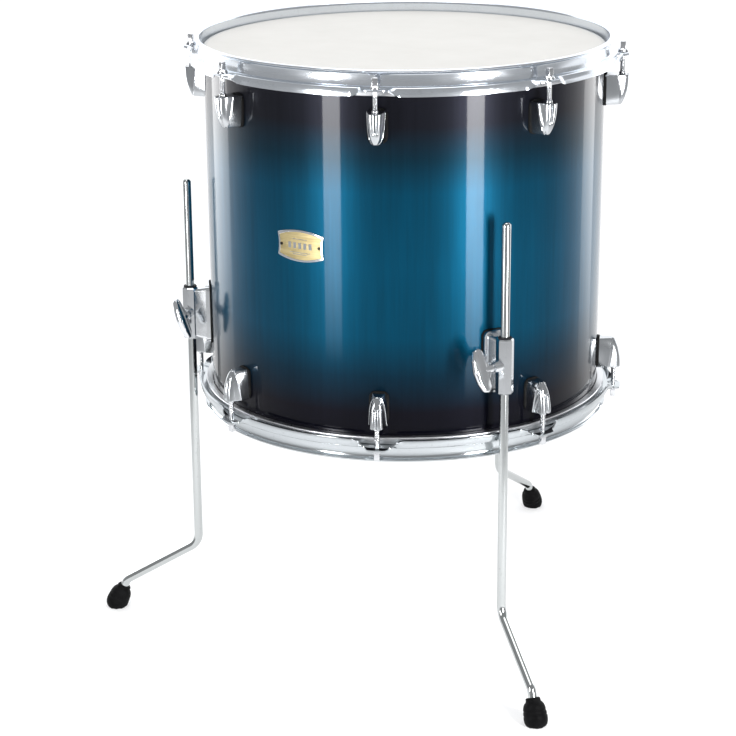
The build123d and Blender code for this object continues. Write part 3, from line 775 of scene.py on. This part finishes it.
def rod_body():
    """Shank with rolled thread rings towards the lug, and the flange under the key head."""
    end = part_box("top_tension_rod_1")[0].z
    flange = STEP_TOP + WASHER + 0.1 * MM
    profile = [(0, end), (ROD_R - 0.7 * MM, end), (ROD_R, end + 0.7 * MM)]
    root_r = ROD_R - THREAD_DEPTH
    thread_top = LUG_TOP + THREAD_RUN
    turns = int((thread_top - LUG_TOP - NUT_LIFT) / THREAD_PITCH)
    profile.append((ROD_R, LUG_TOP + NUT_LIFT - 0.5 * MM))
    for k in range(turns):
        z = LUG_TOP + NUT_LIFT + THREAD_PITCH * k
        profile.append((root_r, z + 0.2 * THREAD_PITCH))
        profile += [(ROD_R, z + share * THREAD_PITCH) for share in (0.6, 0.8)]
    profile += [
        (root_r, thread_top + 0.5 * MM),
        (root_r, flange - 1.0 * MM),
        (ROD_R, flange),
        (FLANGE_R - 0.3 * MM, flange),
        (FLANGE_R, flange + 0.3 * MM),
        (FLANGE_R, flange + 0.9 * MM),
        (FLANGE_R - 0.4 * MM, flange + 1.3 * MM),
        (3.9 * MM, flange + 1.9 * MM),
        (3.4 * MM, flange + 2.6 * MM),
        (0, flange + 2.6 * MM),
    ]
    return lathe(profile, 28)


def key_head():
    """The square that a drum key grips, with eased corners and a domed end."""
    low = STEP_TOP + WASHER + 2.0 * MM
    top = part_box("top_tension_rod_1")[1].z
    loops = []
    for z, w, r in (
        (low, 3.0, 0.5),
        (top - 1.0 * MM, 3.0, 0.5),
        (top - 0.55 * MM, 2.85, 0.7),
        (top - 0.15 * MM, 2.4, 1.0),
        (top, 1.6, 1.0),
    ):
        outline = rounded([(-w, -w), (w, -w), (w, w), (-w, w)], r, 3)
        loops.append([(x * MM, y * MM, z) for x, y in outline])
    return rings(loops)


def build_rods():
    """Sixteen rods, each on a body of its own."""
    parts = [rod_body(), key_head()]
    for k, azimuth in enumerate(STATIONS, start=1):
        place = turned(azimuth, ROD_CIRCLE)
        for end, way in (("top", place), ("bottom", FLIP @ place)):
            rod = piece(f"{end}_key_rod_{k}", *put(parts, [way]), sharp=35)
            finish_piece(rod, f"{end}_rod_{k}", ROD_CHROME, f"{end}_tension_rod_{k}")


# ---- legs -------------------------------------------------------------------------------------------
def arc_path(points, radii, steps=10):
    """Points of a path with its inner corners turned by tangent arcs."""
    out = [Vector(points[0])]
    for i in range(1, len(points) - 1):
        p = Vector(points[i])
        a = (Vector(points[i - 1]) - p).normalized()
        b = (Vector(points[i + 1]) - p).normalized()
        half = a.angle(b) / 2
        r = radii[i - 1]
        cut = r / math.tan(half)
        centre = p + (a + b).normalized() * (r / math.sin(half))
        start, end = p + a * cut - centre, p + b * cut - centre
        total = start.angle(end)
        for k in range(steps + 1):
            t = k / steps
            s0, s1 = math.sin((1 - t) * total), math.sin(t * total)
            out.append(centre + (start * s0 + end * s1) / math.sin(total))
    out.append(Vector(points[-1]))
    return out


def tube(path, radii, steps=32):
    """A round bar along a path that lies in the plane y = 0."""
    loops = []
    for i, p in enumerate(path):
        before, after = path[max(0, i - 1)], path[min(len(path) - 1, i + 1)]
        along = (after - before).normalized()
        side = Vector((0, 1, 0))
        across = along.cross(side).normalized()
        loop = []
        for k in range(steps):
            a = math.tau * k / steps
            loop.append(tuple(p + (across * math.cos(a) + side * math.sin(a)) * radii[i]))
        loops.append(loop)
    return rings(loops)


LEG_R = 5.0 * MM
KNEE_Z = 88.0 * MM
KNEE_BEND_R = 20.0 * MM
ANKLE = Vector((90.0 * MM, 0, 36.0 * MM))
ANKLE_BEND_R = 11.0 * MM
TOE = Vector((107.0 * MM, 0, 0))
BAR_END = 0.42  # share of the way from ankle to toe where the bar ends inside its foot


def leg_turn(side):
    """How the leg's foot is turned about its upright, read from where its foot stands."""
    lo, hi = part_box(f"foot_{side}")
    middle = (lo + hi) / 2 - LEG_AT[side]
    return math.atan2(middle.y, middle.x)


def leg_body(side):
    """The bent bar of a leg, with a rounded tip."""
    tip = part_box(f"leg_rod_{side}")[1].z
    path = arc_path(
        [(0, 0, tip - 8 * MM), (0, 0, KNEE_Z), tuple(ANKLE), tuple(ANKLE.lerp(TOE, BAR_END))],
        [KNEE_BEND_R, ANKLE_BEND_R],
    )
    head = [(tip, 2.6), (tip - 0.25 * MM, 3.1), (tip - 2.2 * MM, 4.75), (tip - 2.8 * MM, 4.95)]
    path = [Vector((0, 0, z)) for z, _ in head] + path
    radii = [r * MM for _, r in head] + [LEG_R] * (len(path) - len(head))
    return tube(path, radii)


def foot_body():
    """A bulb of rubber along the last run of the leg, with two grooves and a flat where it stands."""
    profile = [(0, 31.0), (5.1, 31.0), (7.4, 30.6), (8.1, 29.6), (8.3, 27.4), (8.7, 26.2), (9.8, 25.2)]
    profile += [(11.2, 23.2), (12.2, 20.0), (12.6, 17.6), (12.1, 17.0), (12.1, 16.4), (12.8, 15.8)]
    profile += [(13.1, 12.6), (12.6, 12.0), (12.6, 11.4), (13.25, 10.8), (13.3, 7.5), (12.9, 4.2)]
    profile += [(11.8, 1.2), (10.0, -1.2), (7.0, -3.0), (0, -3.0)]
    body, faces = lathe(in_mm(profile), 48)
    axis = (ANKLE - TOE).normalized()
    place = Matrix.Translation(TOE) @ axis.to_track_quat("Z", "X").to_matrix().to_4x4()
    body = [place @ Vector(p) for p in body]
    body = [Vector((p.x, p.y, max(p.z, 0.0))) for p in body]
    return body, faces


def build_legs():
    """A bar and a rubber foot at each leg's station."""
    for side in SIDES:
        at = LEG_AT[side]
        place = Matrix.Translation((at.x, at.y, 0)) @ Matrix.Rotation(leg_turn(side), 4, "Z")
        rod = piece(f"leg_{side}_bar", *put([leg_body(side)], [place]))
        finish_piece(rod, f"leg_{side}", LEG_CHROME, f"leg_rod_{side}")
        foot = piece(f"leg_{side}_boot", *put([foot_body()], [place]), sharp=50)
        finish_piece(foot, f"leg_{side}", FOOT_RUBBER, f"foot_{side}")


# ---- wing bolts -------------------------------------------------------------------------------------
LEAF_HALF = 4.25 * MM  # half thickness at the leaf's middle
LEAF_EDGE_SHARE = 0.72  # share of the thickness that is left at the leaf's ends
LEAF_REACH = 25.0 * MM  # how far the leaf's ends are from its axis
WING_ROLL = {"left": 19.0, "right": 22.0, "rear": -15.0}  # degrees about the bolt's axis


def wing_blade():
    """The flat leaf of the wing bolt, in the plane of its axis (+X), rounded all round."""
    lobe = [(24, 6), (27, 11), (28.5, 20.5), (32.5, 24.5), (38.5, 23.5), (43.5, 13)]
    outline = lobe + [(45.5, 0)] + [(x, -z) for x, z in lobe[::-1]]
    turns = [2, 4, 4, 4.5, 5, 9]
    flat = rounded(outline, turns + [9] + turns[::-1], 5)
    centre = Vector((35.5, 0))  # the leaf narrows towards this point
    loops = []
    layers = ((0, 2.2), (0.12, 1.2), (0.32, 0.5), (0.6, 0.12), (1.0, 0))
    for share, inset in layers + tuple((2 - share, inset) for share, inset in layers[-2::-1]):
        loop = []
        for p in flat:
            p = Vector(p)
            p = p + (centre - p).normalized() * inset
            half = mix(LEAF_HALF, LEAF_EDGE_SHARE * LEAF_HALF, abs(p.y) * MM / LEAF_REACH)
            loop.append((p.x * MM, (share - 1) * half, p.y * MM))
        loops.append(loop)
    return rings(loops)


def wing_hub():
    """The round hub that the leaf grows from, along +X."""
    profile = [(0, 9.7), (3.2, 9.7), (4.0, 10.5), (4.0, 19.4), (4.6, 19.7), (4.9, 20.2), (5.0, 20.9)]
    profile += [(5.1, 22.8), (5.1, 24.6), (4.9, 26.6), (4.5, 29.0), (3.9, 31.0), (3.2, 33.6), (2.3, 35.9)]
    profile += [(1.2, 36.8), (0, 37.0)]
    verts, faces = lathe(in_mm(profile), 40)
    return [(z, y, x) for x, y, z in verts], faces


def build_wings():
    """A wing bolt on each bracket, about its own joint's axis."""
    up = Vector((0, 0, 1))
    for side in SIDES:
        at, axis = Vector(JOINTS[f"wing_{side}_turn"]["pos_m"]), WING_AXIS[side]
        basis = Matrix((axis, up.cross(axis), up)).transposed().to_4x4()
        place = Matrix.Translation(at) @ basis @ Matrix.Rotation(math.radians(WING_ROLL[side]), 4, "X")
        bolt = piece(f"wing_{side}_bolt", *put([wing_blade(), wing_hub()], [place]), sharp=40)
        finish_piece(bolt, f"wing_{side}", CAST_CHROME, f"wing_bolt_{side}")


# ---- badge ------------------------------------------------------------------------------------------
BADGE_R = -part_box("badge")[0].y
BADGE_Z = (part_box("badge")[0].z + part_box("badge")[1].z) / 2
BADGE_HALF = (29.0 * MM, 17.5 * MM)
BADGE_CORNER_DROP = 5.0 * MM
BADGE_WAIST = 1.5 * MM
BADGE_CORNER_R = 2.2 * MM
RIM_WIDTH = 2.3 * MM
FACE_R = BADGE_R - 0.25 * MM
BAR_BEVEL = 0.2 * MM
LONG_BARS = ((7.4, 9.0), (-7.4, 13.0), (-9.4, 9.0))  # (height, half length) in mm
SHORT_BAR_STEP = 6.4 * MM


def badge_outline(inset, steps=12):
    """The badge's outline as (arc length, height) points: bowed top and bottom, drawn-in ends."""
    w, h = BADGE_HALF
    drop = BADGE_CORNER_DROP
    top = []
    for k in range(-steps, steps + 1):
        u = k / steps
        top.append((u * (w - inset), h - drop * u * u - inset))
    end = []
    for k in range(1, 6):
        v = 1 - k / 3
        tall = h - drop - inset
        end.append((w - BADGE_WAIST * (1 - v * v) - inset, v * tall))
    half = top + end
    loop = half + [(-x, -z) for x, z in half]
    corners = [BADGE_CORNER_R if abs(abs(x) - (w - inset)) < 1e-7 else 0 for x, _ in loop]
    return rounded(loop, corners, 4)


def on_shell(points, radius):
    """(arc length, height) points wrapped onto the shell at the badge's place, facing -Y."""
    return [(radius * math.sin(x / BADGE_R), -radius * math.cos(x / BADGE_R), BADGE_Z + z) for x, z in points]


def badge_sheet(inset, radius, columns=36):
    """A curved sheet that fills the badge's outline."""
    w, h = BADGE_HALF
    verts, faces = [], []
    for i in range(columns + 1):
        u = mix(-1, 1, i / columns)
        x = u * (w - inset - BADGE_WAIST * 0.2)
        tall = h - BADGE_CORNER_DROP * (x / w) ** 2 - inset
        for k in range(3):
            verts += on_shell([(x, (k - 1) * tall)], radius)
    for i in range(columns):
        for k in range(2):
            a = i * 3 + k
            faces.append((a, a + 1, a + 4, a + 3))
    return verts, faces


def badge_bar(x0, x1, z0, z1, steps=8):
    """A raised bar on the badge's face."""
    low, high = FACE_R - 0.1 * MM, BADGE_R - 0.05 * MM
    verts, faces = [], []
    for i in range(steps + 1):
        x = mix(x0, x1, i / steps)
        verts += on_shell([(x, z0), (x, z1)], low)
        verts += on_shell([(x, z1 - BAR_BEVEL), (x, z0 + BAR_BEVEL)], high)
    for i in range(steps):
        a = 4 * i
        faces += [(a + k, a + (k + 1) % 4, a + 4 + (k + 1) % 4, a + 4 + k) for k in range(4)]
    faces += [(3, 2, 1, 0), tuple(4 * steps + k for k in range(4))]
    return verts, faces


def build_badge():
    """A bright rim round a golden face that carries plain raised bars and no lettering."""
    rim = rings(
        [
            on_shell(badge_outline(0), SHELL_R + 0.1 * MM),
            on_shell(badge_outline(0), BADGE_R - 0.35 * MM),
            on_shell(badge_outline(0.25 * MM), BADGE_R - 0.05 * MM),
            on_shell(badge_outline(0.5 * MM), BADGE_R),
            on_shell(badge_outline(RIM_WIDTH - 0.3 * MM), BADGE_R),
            on_shell(badge_outline(RIM_WIDTH), FACE_R),
            on_shell(badge_outline(RIM_WIDTH + 0.2 * MM), FACE_R - 0.3 * MM),
        ],
        caps=False,
    )
    bars = []
    for row, half_length in LONG_BARS:
        z = row * MM
        bars.append(badge_bar(-half_length * MM, half_length * MM, z - 0.45 * MM, z + 0.45 * MM))
    for k in range(-2, 3):
        x = SHORT_BAR_STEP * k
        bars.append(badge_bar(x - 1.7 * MM, x + 1.7 * MM, -3.2 * MM, 3.6 * MM))
    frame_piece = piece("badge_rim", *put([rim] + bars, [Matrix.Identity(4)]), sharp=30)
    finish_piece(frame_piece, "root", CAST_CHROME, "badge")
    face = piece("badge_face", *badge_sheet(RIM_WIDTH - 0.1 * MM, FACE_R), sharp=30)
    finish_piece(face, "root", GOLD, "badge")


# ---- materials of the CAD nodes that are shown ------------------------------------------------------
def dress_nodes():
    """Give the CAD nodes that are shown as they are their materials."""
    wanted = {
        "bracket_gaskets": GASKET,
        "lug_screws": ZINC,
        "bracket_screws": ZINC,
        "bracket_backing_plates": ZINC,
        "badge_pins": BRONZE,
        "vent_grommet": ROD_CHROME,
    }
    for side in SIDES:
        wanted[f"bracket_{side}"] = CAST_CHROME
        wanted[f"leg_bush_{side}"] = NYLON
        wanted[f"clamp_shoe_{side}"] = ZINC
    for name, material in wanted.items():
        node = NODES[name]
        for slot in node.material_slots:
            slot.material = material
        if not node.material_slots:
            node.data.materials.append(material)


# ---- studio -----------------------------------------------------------------------------------------
CAMERA_AZIMUTH = math.radians(29.49)  # towards +X from the badge
CAMERA_AWAY = 2.407
CAMERA_RISE = 0.411  # above the batter head
CAMERA_YAW = 0.0181
CAMERA_PITCH = 0.3207
CAMERA_ROLL = -0.0073
CAMERA_LENS = 104.3
BEHIND = (-math.sin(CAMERA_AZIMUTH), math.cos(CAMERA_AZIMUTH), 0.0)  # level, away from the camera
FLOOR_HALF = 14.0
FLOOR_GLOW = 0.42
FAR_GLOW = 0.68
LIGHT_AWAY = 1.0
LIGHT_TOP = 0.68  # the strips and rims end just below the batter head
OVERHEAD_SIZE = 1.3
OVERHEAD_Z = 2.0
OVERHEAD_GLOW = 2.3
AIR_GLOW = 0.38  # the room's light from everywhere
BEHIND_GLOW = 1.1  # what the far side of the room adds to it
BEHIND_FROM = 69  # degrees from BEHIND where that begins
BEHIND_FULL = 62


def build_camera():
    """The camera that the main picture is taken from."""
    data = bpy.data.cameras.new("photo_view")
    data.lens = CAMERA_LENS
    data.sensor_width = 36
    camera = bpy.data.objects.new("photo_view", data)
    bpy.context.scene.collection.objects.link(camera)
    heading = CAMERA_AZIMUTH + CAMERA_YAW
    level = Vector((-math.sin(heading), math.cos(heading), 0))
    ahead = level * math.cos(CAMERA_PITCH) - Vector((0, 0, math.sin(CAMERA_PITCH)))
    right = Vector((math.cos(heading), math.sin(heading), 0))
    up = right.cross(ahead)
    c, s = math.cos(CAMERA_ROLL), math.sin(CAMERA_ROLL)
    right, up = right * c + up * s, up * c - right * s
    matrix = Matrix((right, up, -ahead)).transposed().to_4x4()
    matrix.translation = (
        CAMERA_AWAY * math.sin(CAMERA_AZIMUTH),
        -CAMERA_AWAY * math.cos(CAMERA_AZIMUTH),
        HEAD_Z + CAMERA_RISE,
    )
    camera.matrix_world = matrix
    bpy.context.scene.camera = camera


def soft_box(name, bearing, width, low, full, glow, high=LIGHT_TOP):
    """A tall soft box facing the drum, at a bearing from the camera's side, that dims below a height."""
    data = bpy.data.lights.new(name, "AREA")
    data.shape = "RECTANGLE"
    data.size, data.size_y = width, high - low
    data.energy = glow * math.pi * width * (high - low)
    data.use_nodes = True
    tree = data.node_tree
    place = tree.nodes.new("ShaderNodeNewGeometry")
    axes = tree.nodes.new("ShaderNodeSeparateXYZ")
    fade = tree.nodes.new("ShaderNodeMapRange")
    fade.inputs["From Min"].default_value = low
    fade.inputs["From Max"].default_value = full
    tree.links.new(place.outputs["Position"], axes.inputs["Vector"])
    tree.links.new(axes.outputs["Z"], fade.inputs["Value"])
    tree.links.new(fade.outputs["Result"], tree.nodes["Emission"].inputs["Strength"])
    light = bpy.data.objects.new(name, data)
    angle = CAMERA_AZIMUTH + math.radians(bearing)
    spot = Vector((LIGHT_AWAY * math.sin(angle), -LIGHT_AWAY * math.cos(angle), (low + high) / 2))
    aim = Vector((-spot.x, -spot.y, 0))
    light.matrix_world = Matrix.Translation(spot) @ aim.to_track_quat("-Z", "Y").to_matrix().to_4x4()
    light.visible_camera = False
    bpy.context.scene.collection.objects.link(light)


def build_floor():
    """A pale floor that glows under the drum and behind it, so that it runs into the white background."""
    corners = [(x * FLOOR_HALF, y * FLOOR_HALF, 0) for x, y in ((-1, -1), (1, -1), (1, 1), (-1, 1))]
    floor = piece("studio_floor", corners, [(0, 1, 2, 3)])
    s = Shader("pale_floor")
    tone = s.noise(1.5, 3)
    s.colour(s.ramp(tone, [(0.3, (0.60, 0.60, 0.605)), (0.7, (0.63, 0.63, 0.635))]))
    s.constants(Roughness=0.9, Specular_IOR_Level=0.0)
    s.bsdf.inputs["Emission Color"].default_value = (1, 1, 1, 1)
    behind = s.add("ShaderNodeVectorMath", operation="DOT_PRODUCT")
    s.link(s.coord, behind.inputs[0])
    behind.inputs[1].default_value = BEHIND
    out = s.add("ShaderNodeVectorMath", operation="LENGTH")
    s.link(s.coord, out.inputs[0])
    near = s.span(out.outputs["Value"], 0.7, 1.5, 1.0, 0.0)
    far = s.span(behind.outputs["Value"], 0.0, 1.0, 0.0, 1.0)
    glow = s.maths("MAXIMUM", s.maths("MULTIPLY", near, FLOOR_GLOW), s.maths("MULTIPLY", far, FAR_GLOW))
    s.link(glow, s.bsdf.inputs["Emission Strength"])
    floor.data.materials.append(s.material)


def build_lights():
    """Two tall strips in front, a dimmer rim light on each side, and a round light overhead."""
    soft_box("left_strip", bearing=-36.5, width=0.16, low=0.12, full=0.635, glow=36)
    soft_box("right_strip", bearing=35.7, width=0.16, low=0.06, full=0.61, glow=47)
    soft_box("left_rim", bearing=-120, width=0.38, low=0.0, full=0.50, glow=3.6)
    soft_box("right_rim", bearing=120, width=0.28, low=0.0, full=0.50, glow=3.0)
    top = bpy.data.lights.new("overhead", "AREA")
    top.shape = "DISK"
    top.size = OVERHEAD_SIZE
    top.energy = OVERHEAD_GLOW * math.pi * math.pi * (OVERHEAD_SIZE / 2) ** 2
    overhead = bpy.data.objects.new("overhead", top)
    overhead.location = (0, 0, OVERHEAD_Z)
    overhead.visible_camera = False
    bpy.context.scene.collection.objects.link(overhead)


def build_world():
    """Even light from all round, with more of it from behind the drum."""
    world = bpy.data.worlds.new("studio_air")
    world.use_nodes = True
    bpy.context.scene.world = world
    tree = world.node_tree
    ground = tree.nodes["Background"]
    coord = tree.nodes.new("ShaderNodeTexCoord").outputs["Generated"]
    dot = tree.nodes.new("ShaderNodeVectorMath")
    dot.operation = "DOT_PRODUCT"
    tree.links.new(coord, dot.inputs[0])
    dot.inputs[1].default_value = BEHIND
    grow = tree.nodes.new("ShaderNodeMapRange")
    grow.interpolation_type = "SMOOTHSTEP"
    edges = [math.cos(math.radians(angle)) for angle in (BEHIND_FROM, BEHIND_FULL)]
    for name, value in zip(SPAN_SOCKETS, (*edges, 0.0, BEHIND_GLOW)):
        grow.inputs[name].default_value = value
    tree.links.new(dot.outputs["Value"], grow.inputs["Value"])
    total = tree.nodes.new("ShaderNodeMath")
    total.inputs[1].default_value = AIR_GLOW
    tree.links.new(grow.outputs["Result"], total.inputs[0])
    tree.links.new(total.outputs["Value"], ground.inputs["Strength"])
    ground.inputs["Color"].default_value = (0.97, 0.985, 1.0, 1)
    bpy.context.scene.view_settings.view_transform = "Standard"


build_shell()
build_heads()
build_hoops()
build_lugs()
build_nuts_and_washers()
build_rods()
build_legs()
build_wings()
build_badge()
dress_nodes()
build_camera()
build_floor()
build_lights()
build_world()
